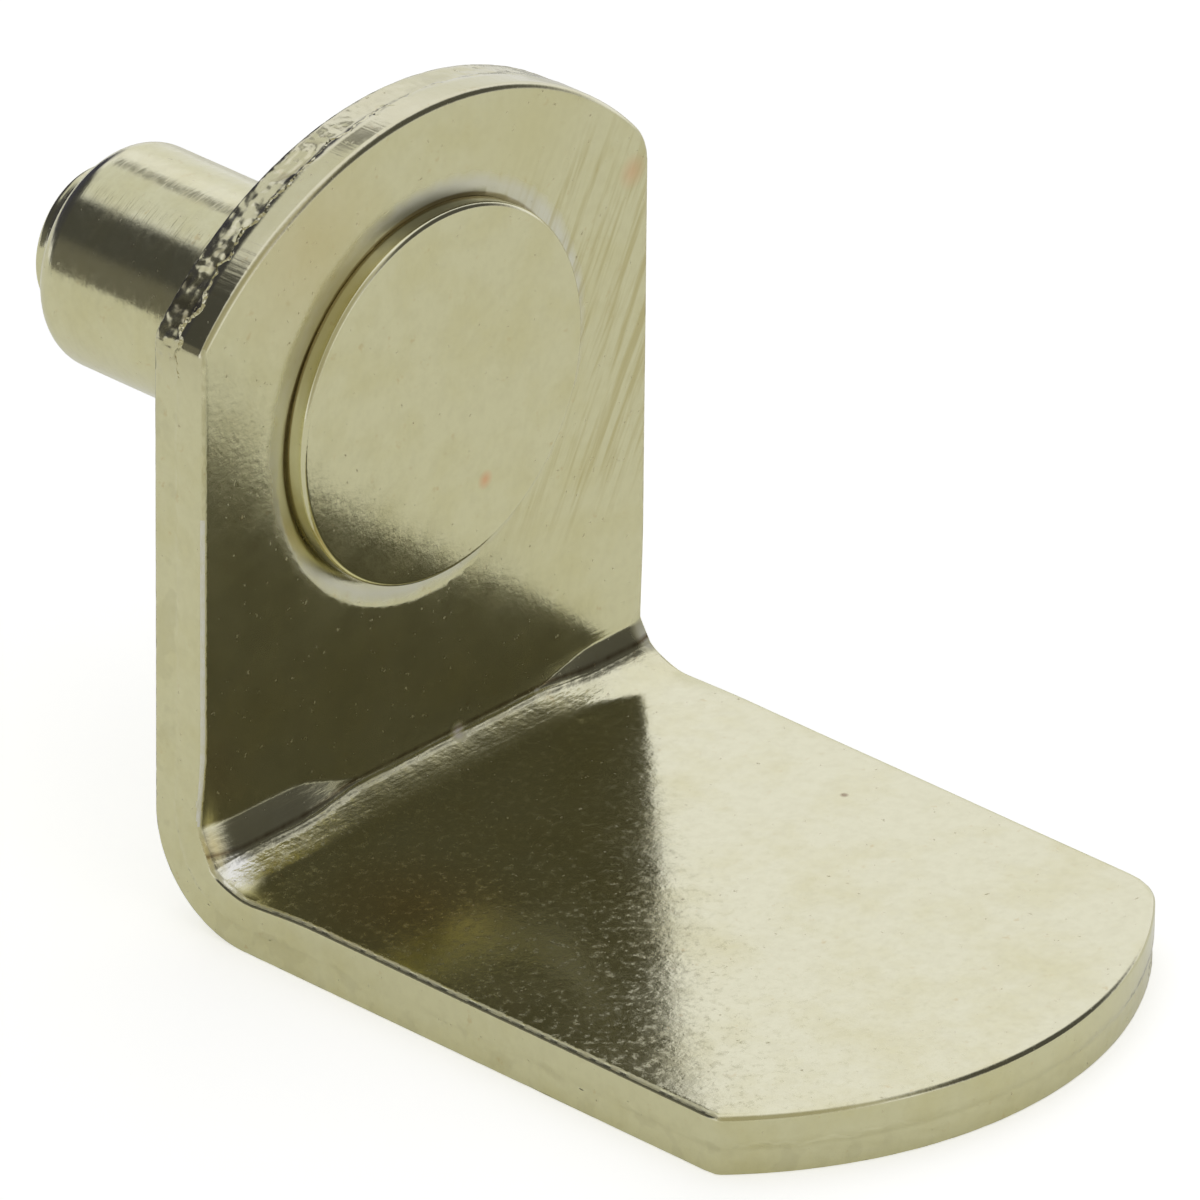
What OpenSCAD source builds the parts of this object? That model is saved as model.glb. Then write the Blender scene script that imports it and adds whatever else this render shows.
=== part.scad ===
// Shelf support pin: a bent strip bracket that carries the shelf, and a headed pin that plugs into
// a drilled hole in the cabinet side.
// Frame: the cabinet side is the plane y = 0 and the pin points into it along +Y. The shelf seat
// faces +Z and reaches out along -Y. X runs across the width. The origin lies on the pin's axis.

/* [Pin] */
// Diameter of the pin, to suit the hole drilled in the cabinet side
pin_d = 5; // [4.8:0.05:6.4]
// Length of the pin from the back of the bracket to its shoulder
pin_length = 7.7; // [6:0.1:12]
// Radius on the edge of the shoulder
shoulder_r = 0.6; // [0.3:0.05:0.65]
// Diameter of the small step on the end of the pin
step_d = 3.4; // [2:0.1:3.5]
// Height of the small step on the end of the pin
step_h = 0.75; // [0.4:0.05:1.5]
// Diameter of the neck that passes through the bracket
neck_d = 4; // [3:0.1:4.5]

/* [Head] */
// Diameter of the flat head on the front of the bracket
head_d = 8.4; // [7.2:0.1:10]
// Height of the flat head
head_h = 0.45; // [0.3:0.05:1]

/* [Bracket] */
// Thickness of the strip
sheet = 1.4; // [1:0.1:1.6]
// Width of the strip
width = 13.4; // [11.4:0.1:15.5]
// Height of the bracket's top above the pin's axis
rise = 6.5; // [5.5:0.1:10]
// Drop from the pin's axis to the seat that carries the shelf
seat_drop = 8.8; // [7.5:0.1:14]
// Reach of the seat's end from the cabinet side
reach = 18.5; // [15:0.5:30]
// Radius of the arc along the bracket's top
top_r = 8.6; // [8.2:0.1:20]
// Radius of the arc along the seat's end
end_r = 9.5; // [8.2:0.1:20]
// Radius where each arc runs into the straight sides
corner_r = 1; // [0.5:0.1:3.5]

/* [Bend] */
// Outside radius of the bend
bend_r = 2.5; // [2.4:0.1:3.5]
// Inside radius along the middle of the bend, where the tool has struck a sharp line
crease_r = 0.2; // [0.1:0.05:0.4]
// Length at each end of the bend over which the inside opens out to its full radius
flare_length = 3.4; // [2:0.2:5]
// Radius of the rolled edge that the press leaves around the front face
roll = 0.15; // [0.05:0.01:0.3]

/* [Hidden] */
$fn = 96;
brass = [0.80, 0.76, 0.55];
// The hole is this much larger than the neck, across the diameter.
hole_gap = 0.02;
// Pieces of the strip run this far into one another.
lap = 0.5;
seat_z = -seat_drop;
under_z = seat_z - sheet;
// The inside radius that keeps the strip's full thickness round the bend
flare_r = bend_r - sheet;
bend_top_z = under_z + bend_r;
step_edge_r = 0.15;
step_dome = 0.1;
head_edge_r = 0.12;

// The strip's cross-section, with the two edges of its upper face rolled over
module strip_section() {
    square_w = width - 2 * roll;
    translate([-width / 2, 0]) square([width, sheet - roll]);
    translate([-square_w / 2, 0]) square([square_w, sheet]);
    for (side = [-1, 1])
        translate([side * square_w / 2, sheet - roll]) circle(roll);
}

// A disc with the same edge as the strip, or the angle of it that rotate_extrude is given
module edge_section(outer_r) {
    square([outer_r, sheet - roll]);
    square([outer_r - roll, sheet]);
    translate([outer_r - roll, sheet - roll]) circle(roll);
}

// One leg of the bracket, lying flat: a strip along +Y from start to an arched end at tip.
// The arc is tangent to the corner discs, whose centres lie spread to each side of its own.
module leg(start, tip, arc_r) {
    corner_x = width / 2 - corner_r;
    centre_gap = arc_r - corner_r;
    spread = asin(corner_x / centre_gap);
    // Rounded to a thousandth, so that the pieces that meet at the corners share one plane
    corner_y = round(1000 * (tip - arc_r + centre_gap * cos(spread))) / 1000;
    translate([0, corner_y, 0]) {
        rotate([90, 0, 0]) linear_extrude(corner_y - start) strip_section();
        for (side = [0, 1]) mirror([side, 0, 0]) {
            translate([corner_x, 0, 0]) rotate_extrude() edge_section(corner_r);
            intersection() {
                translate([corner_x, 0, 0]) rotate(90 - spread) translate([-centre_gap, 0, 0])
                    rotate_extrude(angle = 2 * spread) edge_section(arc_r);
                translate([0, -lap, -lap]) cube(2 * arc_r);
            }
        }
    }
}

// The bend: round outside, and struck to a sharp line inside
module bend() {
    rotate([90, 0, 90]) translate([0, 0, -width / 2]) linear_extrude(width)
        difference() {
            intersection() {
                translate([-bend_r, under_z]) square(bend_r);
                translate([-bend_r, bend_top_z]) circle(bend_r);
            }
            translate([-bend_r - sheet, seat_z + crease_r]) square(bend_r);
            translate([-bend_r - sheet - crease_r, seat_z]) square(bend_r);
            translate([-sheet - crease_r, seat_z + crease_r]) circle(crease_r);
        }
}

// The filling at one end of the bend's inside. A cone that starts as a point on the crease opens
// to the full inside radius at the strip's side.
module flare() {
    axis = [flare_length, -flare_r, flare_r];
    slant = norm(axis);
    // The cone is a little over size, so that it runs out cleanly into the flat faces.
    over = 1.02;
    cone_r = over * flare_r / sqrt(1 - pow(flare_r / slant, 2));
    translate([width / 2 - flare_length, -sheet, seat_z])
        difference() {
            intersection() {
                translate([0, 0, -roll]) linear_extrude(flare_r + roll)
                    polygon([[0, roll], [flare_length, roll], [flare_length, -flare_r], [0, 0]]);
                translate([0, roll, 0]) rotate([90, 0, 0]) linear_extrude(flare_r + roll)
                    polygon([[0, -roll], [flare_length, -roll], [flare_length, flare_r], [0, 0]]);
            }
            rotate([0, acos(axis[2] / slant), atan2(axis[1], axis[0])])
                cylinder(h = 1.5 * slant, r1 = 0, r2 = 1.5 * cone_r);
        }
}

module bracket() {
    color(brass) difference() {
        union() {
            rotate([90, 0, 0]) leg(bend_top_z, rise, top_r);
            translate([0, 0, under_z]) rotate(180) leg(bend_r, reach, end_r);
            bend();
            for (side = [0, 1]) mirror([side, 0, 0]) flare();
        }
        rotate([90, 0, 0]) cylinder(h = 4 * sheet, d = neck_d + hole_gap, center = true);
    }
}

// Half of the pin's outline, with its length along Y and the bracket's back at zero
module pin_outline() {
    straight = pin_length - shoulder_r;
    // Head, with the edge of its face rounded
    translate([0, -sheet - head_h + head_edge_r]) square([head_d / 2, head_h - head_edge_r]);
    translate([0, -sheet - head_h]) square([head_d / 2 - head_edge_r, head_h]);
    translate([head_d / 2 - head_edge_r, -sheet - head_h + head_edge_r]) circle(head_edge_r);
    // Neck through the bracket, then the body, whose near end bears on the bracket's back
    translate([0, -sheet - lap * head_h]) square([neck_d / 2, sheet + lap * head_h + lap]);
    square([pin_d / 2, straight]);
    // Rounded shoulder at the far end of the body
    translate([0, straight - lap]) square([pin_d / 2 - shoulder_r, shoulder_r + lap]);
    translate([pin_d / 2 - shoulder_r, straight]) circle(shoulder_r);
    // Step on the end, with a rounded edge and a low dome
    step_top = pin_length + step_h - step_dome;
    flat_r = step_d / 2 - step_edge_r;
    dome_r = (pow(flat_r, 2) + pow(step_dome, 2)) / (2 * step_dome);
    translate([0, pin_length - lap]) square([step_d / 2, step_top - step_edge_r - pin_length + lap]);
    translate([0, pin_length - lap]) square([flat_r, step_top - pin_length + lap]);
    translate([flat_r, step_top - step_edge_r]) circle(step_edge_r);
    intersection() {
        translate([0, pin_length]) square([flat_r, step_h]);
        translate([0, step_top + step_dome - dome_r]) circle(dome_r);
    }
}

module pin() {
    color(brass) rotate([-90, 0, 0]) rotate_extrude() pin_outline();
}

bracket();
pin();
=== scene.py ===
# %% [markdown]
# # A shelf support pin, dressed in Blender
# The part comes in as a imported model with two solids, a bent strip and a headed pin. They have
# their real sizes and stay where they are. This lesson puts finely modelled pieces in their place:
# the strip with its rolled, sheared and bruised edges, and the pin with its turned skin. Both then
# get a plated finish, and a small white table, a bright room and a camera are set up around them.

# %% Load the part
import math
from types import SimpleNamespace

import bpy
import numpy as np
from mathutils import Matrix, Vector


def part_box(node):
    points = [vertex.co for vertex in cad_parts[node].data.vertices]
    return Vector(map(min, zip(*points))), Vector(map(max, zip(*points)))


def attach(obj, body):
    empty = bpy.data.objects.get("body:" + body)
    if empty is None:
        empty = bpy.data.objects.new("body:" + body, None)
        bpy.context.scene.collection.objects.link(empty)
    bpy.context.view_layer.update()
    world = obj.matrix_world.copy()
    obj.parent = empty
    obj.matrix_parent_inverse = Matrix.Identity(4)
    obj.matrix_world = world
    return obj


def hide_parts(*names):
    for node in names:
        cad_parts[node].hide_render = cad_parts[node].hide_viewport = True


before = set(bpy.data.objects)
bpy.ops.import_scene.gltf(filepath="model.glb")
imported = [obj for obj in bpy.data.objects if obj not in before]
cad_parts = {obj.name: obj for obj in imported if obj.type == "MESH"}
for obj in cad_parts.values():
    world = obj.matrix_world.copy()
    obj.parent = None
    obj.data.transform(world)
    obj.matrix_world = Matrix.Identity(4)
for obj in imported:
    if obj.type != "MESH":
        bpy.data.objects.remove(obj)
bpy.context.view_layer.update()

# %% [markdown]
# ## Sizes
# Blender works in metres, and a part of 27 mm is easier to think of in millimetres. So every size
# below is in millimetres, and a mesh is scaled by MM when it is made. What can be read from the
# boxes of the two solids is read from there. The few sizes that a box doesn't show are written out.
# X runs across the strip, Y into the wall and Z up, and the origin lies on the pin's axis at the
# back of the plate.

# %% Sizes of the strip and the pin
MM = 0.001
strip_low, strip_high = (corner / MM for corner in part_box("bracket"))
pin_low, pin_high = (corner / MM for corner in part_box("pin"))

half_width = strip_high.x
plate_top = strip_high.z
seat_end = -strip_low.y
under_z = strip_low.z
sheet = 1.4
seat_z = under_z + sheet
top_r = 8.6
end_r = 9.5
bend_r = 2.5
roll = 0.15
head_r = pin_high.x
head_face = pin_low.y
pin_end = pin_high.y
pin_r = 2.5
neck_r = 2.0
print(f"strip {2 * half_width:.1f} wide, seat to {seat_end:.1f}, head radius {head_r:.1f} mm")

# %% [markdown]
# ## The outline of one leg
# Seen flat, each leg of the strip has an arched end: two straight sides, two round corners and one
# wide arc, all tangent to each other. A few lengths and centres describe it. The punch was a
# little worn on one side, so the two corners aren't quite the same, and each leg gets
# two shapes, one for its left half and one for its right.

# %% Measure a leg's outline
left_rounding = 0.45
right_rounding = 1.35


def leg_shape(tip, arc_r, rounding):
    """The centres and lengths that the walk along one side of a leg needs."""
    corner_x = half_width - rounding
    gap = arc_r - rounding
    spread = math.asin(corner_x / gap)
    arc_v = tip - arc_r
    return {
        "arc_r": arc_r,
        "arc_v": arc_v,
        "rounding": rounding,
        "corner_x": corner_x,
        "corner_v": arc_v + gap * math.cos(spread),
        "spread": spread,
        "arc_length": arc_r * spread,
        "corner_length": rounding * (math.pi / 2 - spread),
    }


plate_leg = [leg_shape(plate_top, top_r, r) for r in (left_rounding, right_rounding)]
seat_leg = [leg_shape(seat_end, end_r, r) for r in (left_rounding, right_rounding)]
arc_angle = math.degrees(plate_leg[0]["spread"] + plate_leg[1]["spread"])
print(f"the plate's arc spans {arc_angle:.0f} degrees")

# %% [markdown]
# One number is enough to walk along the edge: the length from the middle of the arc. The function
# below turns that length into a point and the direction straight out of the metal there. A
# drawn curve would do too, but with a formula the same walk also gives every inner ring, by
# stepping inwards from the edge. The leg lies flat here, with x across it and v along it.

# %% Walk along a leg's edge
def edge_point(leg, s):
    """Point (x, v) on a leg's right edge and the outward direction, s mm from the arc's middle."""
    if s <= leg["arc_length"]:
        turn = s / leg["arc_r"]
        out = (math.sin(turn), math.cos(turn))
        return (leg["arc_r"] * out[0], leg["arc_v"] + leg["arc_r"] * out[1]), out
    past = s - leg["arc_length"]
    if past <= leg["corner_length"]:
        turn = leg["spread"] + past / leg["rounding"]
        out = (math.sin(turn), math.cos(turn))
        point = (leg["rounding"] * out[0] + leg["corner_x"], leg["rounding"] * out[1])
        return (point[0], point[1] + leg["corner_v"]), out
    return (half_width, leg["corner_v"] - (past - leg["corner_length"])), (1.0, 0.0)


print("5 mm along the plate's edge:", edge_point(plate_leg[1], 5)[0])

# %% [markdown]
# ## The inside of the bend
# The press has not left a plain radius here. The seat curves up to a sharp line, and over the middle
# of the bend the plate's flat face comes straight down to that line. At both ends the tool left
# part of the metal standing, as a slanted leaf between the plate and the line. The values below
# give, for a place across the strip, where the leaf starts and where the line lies. They are
# heights above the seat and distances in front of the plate. Where a size differs between the
# strip's two halves it is a pair, left first.

# %% Profile of the bend's inside
crease_height = 0.27
crease_rise = (0.06, 0.07)
crease_forward = (0.36, 0.28)
forward_ramp = (2.8, 1.8)
leaf_height = (1.05, 0.78)
leaf_start = (1.6, 3.2)
leaf_ramp = (2.7, 2.1)
leaf_least = 0.14
print(f"the line stands {crease_height:.2f} mm above the seat in the middle")

# %% [markdown]
# Three small helpers spread these values over the strip's width. One goes softly from 0 to 1, one
# picks the left or the right value, and one tells how far a place is inside a leaf.

# %% Helpers for the two halves
def soft_step(low, high, value):
    """Goes from 0 at low to 1 at high, and starts and ends level."""
    t = np.clip((np.asarray(value, float) - low) / (high - low), 0, 1)
    return t * t * (3 - 2 * t)


def by_side(x, pair):
    """The pair's first value on the left half of the strip and its second on the right half."""
    return np.where(np.asarray(x) < 0, *pair)


def in_leaf(x, ramp):
    """0 over the middle of the bend, rising over ramp mm to 1 in the leaves at its two ends."""
    return soft_step(0, 1, (np.abs(x) - by_side(x, leaf_start)) / by_side(x, ramp))


print("share of the leaf at the strip's left side:", float(in_leaf(-half_width, leaf_ramp)))

# %% [markdown]
# Now the line itself and the upper end of the leaf can be given for any place across the strip. The
# real line isn't quite straight, so a few sine waves of different length make it waver by a
# hundredth of a millimetre or two.

# %% The struck line and the leaves
def crease_point(x):
    """Distance in front of the plate and height above the seat of the sharp line, at x."""
    uneven = 0.012 * np.sin(2.1 * x + 0.4) + 0.006 * np.sin(7.3 * x) + 0.004 * np.sin(17.0 * x)
    leaf = in_leaf(x, forward_ramp)
    return by_side(x, crease_forward) * leaf, crease_height + by_side(x, crease_rise) * leaf + uneven


def leaf_top(x):
    """Height above the seat at which the leaf leaves the plate's flat face."""
    lowest = crease_height + leaf_least
    return lowest + (by_side(x, leaf_height) - lowest) * in_leaf(x, leaf_ramp)


print(f"the leaves start {leaf_top(-half_width):.2f} and {leaf_top(half_width):.2f} mm above the seat")

# %% [markdown]
# Below the line the metal falls to the seat in one curve. It is steep at first, has a slight edge
# a little below the line, and then flattens out slowly. That is easiest to say as its slope at a
# few shares of its length. Adding up small steps with those slopes then gives the curve itself.

# %% The curve below the line
slope_shares = (0, 0.12, 0.17, 0.60, 1)
slope_degrees = (31, 26, 20, 14, 0)
small_steps = 400
curve_share = np.linspace(0, 1, small_steps + 1)
curve_slope = np.radians(np.interp(curve_share, slope_shares, slope_degrees))
run_done = np.concatenate([[0], np.cumsum(np.cos(curve_slope[1:]))]) / small_steps
fall_done = np.concatenate([[0], np.cumsum(np.sin(curve_slope[1:]))]) / small_steps
curve_length = crease_height / fall_done[-1]


def curve_end(x):
    """The distance in front of the plate at which the curve meets the seat."""
    return crease_point(x)[0] + curve_length * run_done[-1]


print(f"the curve is {curve_length:.2f} mm long")

# %% [markdown]
# ## A net of points over one leg
# Reflections on metal show every flaw of a mesh, so the flat faces are covered by an even net of
# squares. The net follows the leg's edge on three sides and the bend on the fourth. Filling
# it in between four known borders is called a Coons patch: each inside point is a blend of the
# borders, and the net stays smooth right into the round corners.

# %% Fill a leg between its borders
def leg_net(legs, inset, start, columns, rows):
    """Points (x, v) of a leg's net. start(x) is v where the leg begins, rows go from 0 there to 1."""
    across = np.linspace(-1, 1, columns + 1)
    half_corner = [leg["arc_length"] + leg["corner_length"] / 2 for leg in legs]

    def inset_point(side, walked):
        (x, v), (out_x, out_v) = edge_point(legs[side], walked)
        return (2 * side - 1) * (x - inset * out_x), v - inset * out_v

    def side_line(side):
        leg = legs[side]
        foot = float(start((2 * side - 1) * half_width))
        whole = leg["arc_length"] + leg["corner_length"] + leg["corner_v"] - foot
        walks = [whole + (half_corner[side] - whole) * t for t in rows]
        return np.array([inset_point(side, walked) for walked in walks])

    end = np.array([inset_point(int(a > 0), abs(a) * half_corner[int(a > 0)]) for a in across])
    begin = np.stack([across * (half_width - inset), start(across * half_width)], 1)
    left, right = side_line(0), side_line(1)
    u = ((across + 1) / 2)[None, :, None]
    t = rows[:, None, None]
    corners = (1 - t) * ((1 - u) * begin[0] + u * begin[-1]) + t * ((1 - u) * end[0] + u * end[-1])
    return (1 - t) * begin + t * end + (1 - u) * left[:, None] + u * right[:, None] - corners


sample = leg_net(plate_leg, 0, lambda x: 0 * x, 4, np.linspace(0, 1, 3))
print("a coarse net has", sample.shape[0], "rows of", sample.shape[1], "points")

# %% [markdown]
# ## The marks of the press
# Sheet metal always waves a little, and that shows in its reflections. The line in the bend has
# been struck twice and stands up in two fine ridges. At the strip's sides the bend has pulled the
# inside down into a soft shoulder. These are small moves of the net along its own normal. They are
# real shape and not a bump texture, because they show in outline and in every reflection.

# %% Height of the press marks
wave_height = 0.0035
shoulder_width = (0.8, 0.4)
shoulder_drop = (0.16, 0.05)
shoulder_fade = (0.3, 2.8)
ridge_width = 0.03


def plate_waves(x, z):
    """How far the plate's face stands proud of a true plane, in slow waves."""
    return wave_height * np.sin(0.9 * x + 0.6 * z) * np.sin(0.7 * z - 0.4 * x + 1.0)


def seat_waves(x, v):
    """The same for the seat's face, v mm out from the wall."""
    return wave_height * np.sin(0.8 * x - 0.5 * v + 2.0) * np.sin(0.6 * v + 0.5 * x)


def side_drop(x, away):
    """How far the inside falls at the strip's sides, away mm from the sharp line."""
    width = by_side(x, shoulder_width)
    near_side = np.clip((np.abs(x) - (half_width - width)) / width, 0, 1)
    return by_side(x, shoulder_drop) * near_side**2 * (1 - soft_step(*shoulder_fade, away))


def ridge(x, away, place, height):
    """A fine raised line along the bend, strongest in the middle."""
    uneven = 1 + 0.35 * np.sin(5.1 * x) * np.sin(2.3 * x + 1)
    middle = 1 - 0.6 * soft_step(3.5, 6.2, np.abs(x))
    return height * uneven * middle * np.exp(-(((away - place) / ridge_width) ** 2))


print(f"at the sides the inside falls by {side_drop(-half_width, 0):.2f} mm on the left")

# %% [markdown]
# ## The bent strip
# The strip is built as one closed skin. Its whole front is one net: rows over the plate, the leaf,
# the curve and the seat. The back is a second net with as many rows, round the outside of the bend,
# and between the two runs the cut edge. The rows lie closer together near the bend, where the shape
# changes fastest. The other way would be to bend a flat sheet with a modifier, but then the struck
# line and the leaves would have to be pushed into it afterwards.

# %% Rows of the strip's nets
columns = 120
plate_rows = 104
leaf_rows = 16
curve_rows = 28
seat_rows = 92


def bunched(count, tightness):
    """From 0 to 1 in count steps, close together near 0."""
    t = np.linspace(0, 1, count + 1)
    return (np.exp(tightness * t) - 1) / (math.exp(tightness) - 1)


plate_steps = bunched(plate_rows, 1.6)
leaf_steps = 1 - bunched(leaf_rows, 1.2)[::-1][1:]
curve_steps = bunched(curve_rows, 1.8)[1:-1]
seat_steps = bunched(seat_rows, 2.0)
print("rows over plate, leaf, curve and seat:", plate_rows, leaf_rows, curve_rows, seat_rows)

# %% [markdown]
# ## The strip's front
# Every column of the net meets the bend at its own height, so the bend's profile is worked out once
# for each column. Then come the four stretches of the front, from the top of the plate to the
# end of the seat. In each, the flat or curved shape comes first, and the marks of the press then
# push a point out along the surface's own direction.

# %% The bend's profile at each column
across = np.linspace(-1, 1, columns + 1)
column_x = across * half_width
line_forward, line_height = crease_point(column_x)
curve_foot = curve_end(column_x)
leaf_head = leaf_top(column_x)
leaf_lean = np.arctan2(line_forward, leaf_head - line_height)
leaf_length = np.hypot(line_forward, leaf_head - line_height)
steeper = line_height / crease_height
print(f"the leaves are up to {leaf_length.max():.2f} mm long")

# %% [markdown]
# The plate and the seat are leg nets. What they need beside their outline is how far a point is from
# the struck line, since the soft shoulder at the strip's sides dies away with that distance.

# %% Front of the plate and the seat
def plate_front(inset):
    """Rows down the plate's face, as far as the leaf."""
    net = leg_net(plate_leg, inset, lambda x: seat_z + leaf_top(x), columns, plate_steps)[::-1]
    x, z = net[..., 0], net[..., 1]
    away = (z - seat_z - leaf_head) + leaf_length
    widen = half_width / (half_width - inset)
    proud = plate_waves(x, z) - side_drop(x * widen, away)
    return np.stack([x, -sheet - proud, z], -1)


def seat_front(inset):
    """Rows along the seat's face, from the end of the curve to the seat's end."""
    net = leg_net(seat_leg, inset, lambda x: sheet + curve_end(x), columns, seat_steps)
    x, v = net[..., 0], net[..., 1]
    away = v - sheet - curve_foot + curve_length
    widen = half_width / (half_width - inset)
    return np.stack([x, -v, seat_z + seat_waves(x, v) - side_drop(x * widen, away)], -1)


print("plate and seat:", plate_front(roll).shape[:2], seat_front(roll).shape[:2])

# %% [markdown]
# The leaf is straight from the plate's face down to the line, and the curve runs on from there. Each
# carries one of the two fine ridges.

# %% Front of the leaf and the curve
leaf_ridge = (0.07, 0.012)
curve_ridge = (0.05, 0.003)


def leaf_front(inset):
    """Rows down the leaf, as far as the struck line."""
    rows = []
    for t in leaf_steps[:-1]:
        away = leaf_length * (1 - t)
        proud = ridge(column_x, away, *leaf_ridge) - side_drop(column_x, away)
        y = -sheet - line_forward * t - proud * np.cos(leaf_lean)
        z = seat_z + leaf_head + (line_height - leaf_head) * t + proud * np.sin(leaf_lean)
        rows.append(np.stack([across * (half_width - inset), y, z], -1))
    return np.array(rows)


def curve_front(inset):
    """Rows down the curve, from the struck line to just before the seat."""
    rows = []
    for t in np.concatenate([[0.0], curve_steps]):
        slope, run, fall = (np.interp(t, curve_share, a) for a in (curve_slope, run_done, fall_done))
        slope = np.arctan(steeper * math.tan(slope))
        away = curve_length * t
        proud = ridge(column_x, away, *curve_ridge) - side_drop(column_x, away)
        y = -sheet - line_forward - curve_length * run - proud * np.sin(slope)
        z = seat_z + line_height - steeper * curve_length * fall + proud * np.cos(slope)
        rows.append(np.stack([across * (half_width - inset), y, z], -1))
    return np.array(rows)


def front_net(inset):
    """The front face as rows of (x, y, z), inset mm inside the strip's outline."""
    stretches = (plate_front, leaf_front, curve_front, seat_front)
    return np.concatenate([stretch(inset) for stretch in stretches])


front = front_net(roll)
print("front net:", front.shape[:2], "rows and columns")

# %% [markdown]
# ## The strip's back
# The back is plain: flat on the wall, a quarter turn round the bend, and flat under the seat. It has
# exactly as many rows and columns as the front, so that the edge between them can be filled with
# rings of squares.

# %% Back of the strip
def back_net(inset):
    """The back face with the same rows as the front, inset mm inside the strip's outline."""
    plate = leg_net(plate_leg, inset, lambda x: under_z + bend_r + 0 * x, columns, plate_steps)[::-1]
    seat = leg_net(seat_leg, inset, lambda x: bend_r + 0 * x, columns, seat_steps)
    xs = across * (half_width - inset)
    rows = [np.stack([plate[..., 0], 0 * plate[..., 0], plate[..., 1]], -1)]
    bend_rows = leaf_rows + curve_rows - 1
    for turn in np.linspace(0, math.pi / 2, bend_rows + 2)[1:-1]:
        y = -bend_r + bend_r * math.cos(turn)
        z = under_z + bend_r - bend_r * math.sin(turn)
        rows.append(np.stack([xs, 0 * xs + y, 0 * xs + z], -1)[None])
    rows.append(np.stack([seat[..., 0], -seat[..., 1], 0 * seat[..., 0] + under_z], -1))
    return np.concatenate(rows)


print("back net:", back_net(0).shape[:2], "rows and columns")

# %% [markdown]
# ## The cut edge
# A blanked edge has three bands. The front edge rolls over, then comes a smooth band where the die
# has sheared the metal, and then a rougher one where it tore. The rings below step through them.
# Each is written as its inset from the outline, its depth below the front face and how uneven it
# is. The torn band lies a few hundredths of a millimetre back.

# %% Rings of the cut edge
shear_depth = 0.72
back_edge = 0.06
tear_setback = 0.025
tear_height = 0.010


def edge_profile():
    """(inset, depth, unevenness) of each ring from the front net's border to the back's."""
    rings = []
    for turn in np.linspace(0, math.pi / 2, 8)[1:]:
        rings.append((roll * (1 - math.sin(turn)), roll * (1 - math.cos(turn)), 0.0))
    for depth in (0.35, 0.55, shear_depth):
        rings.append((0.0, depth, 0.0))
    for depth in np.linspace(shear_depth + 0.06, sheet - back_edge, 8):
        rings.append((tear_setback, depth, 1.0))
    rings.append((tear_setback + 0.3 * back_edge, sheet - 0.3 * back_edge, 0.3))
    return rings


print("rings round the edge:", len(edge_profile()))

# %% [markdown]
# The torn band is uneven at random. The generator is started from a fixed seed, so the same edge
# comes out each time. The noise is drawn once for each ring and closes on itself.

# %% Uneven metal round the edge
edge_seed = 7
rng = np.random.default_rng(edge_seed)
print("the edge's noise starts from seed", edge_seed)


def smooth_noise(count, reach):
    """Noise round a closed line of count points, smoothed over reach points."""
    kernel = np.hanning(2 * reach + 3)[1:-1]
    raw = rng.normal(size=count + 2 * reach)
    raw[-2 * reach:] = raw[: 2 * reach]
    return np.convolve(raw, kernel / np.sqrt((kernel**2).sum()), "valid")[:count]


# %% [markdown]
# To place the rings, the code walks once round the border of the nets. Every point there has a
# direction out of the strip, found by comparing two nets of different inset, and a direction
# through the sheet, from the front border to the back border.

# %% Points of the whole skin
rows_total, columns_total = front.shape[:2]
top_side = [(0, c) for c in range(columns_total)]
right_side = [(r, columns_total - 1) for r in range(1, rows_total - 1)]
end_side = [(rows_total - 1, c) for c in reversed(range(columns_total))]
left_side = [(r, 0) for r in reversed(range(1, rows_total - 1))]
border_index = top_side + right_side + end_side + left_side


def border(net):
    """The net's outermost points, once round."""
    return np.array([net[i] for i in border_index])


front_edge = border(front_net(0))
outward = front_edge - border(front_net(0.05))
outward /= np.linalg.norm(outward, axis=1, keepdims=True)
through = (border(back_net(0)) - front_edge) / sheet
back = back_net(tear_setback + back_edge)
vertices = [front.reshape(-1, 3), back.reshape(-1, 3)]
for inset, depth, uneven in edge_profile():
    step = inset + uneven * tear_height * np.abs(smooth_noise(len(border_index), 1))
    vertices.append(front_edge - step[:, None] * outward + depth * through)
vertices = np.concatenate(vertices)
print("border of", len(border_index), "points, skin of", len(vertices))

# %% [markdown]
# Now the points are joined into squares: the two nets, and between them one band of squares from
# each ring to the next. The corner numbers of a square run the same way round everywhere, seen
# from outside, because that decides which side of the skin is its outside.

# %% Squares of the whole skin
net_size = rows_total * columns_total
ring_size = len(border_index)


def net_faces(start):
    """The squares of a net whose points are numbered from start."""
    r, c = np.meshgrid(range(rows_total - 1), range(columns_total - 1), indexing="ij")
    a = start + r * columns_total + c
    return np.stack([a, a + 1, a + 1 + columns_total, a + columns_total], -1).reshape(-1, 4)


def ring_faces(ring_a, ring_b):
    """A band of squares between two closed rings of point numbers."""
    a, b = np.array(ring_a), np.array(ring_b)
    return np.stack([a, np.roll(a, -1), np.roll(b, -1), b], -1)


front_border = [r * columns_total + c for r, c in border_index]
back_border = [net_size + number for number in front_border]
ring_starts = [2 * net_size + ring_size * k for k in range(len(edge_profile()))]
rings = [front_border] + [list(range(s, s + ring_size)) for s in ring_starts] + [back_border]
faces = [net_faces(0), net_faces(net_size)[:, ::-1]]
faces += [ring_faces(a, b)[:, ::-1] for a, b in zip(rings, rings[1:])]
faces = np.concatenate(faces)
print("strip:", len(vertices), "points,", len(faces), "faces")

# %% [markdown]
# ## Making the piece
# A list of points and a list of faces is all that Blender needs for a mesh. The helper below makes
# an object of them and shades it smooth, because the squares are already small enough to carry
# every sharp place in their shape.

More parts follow.
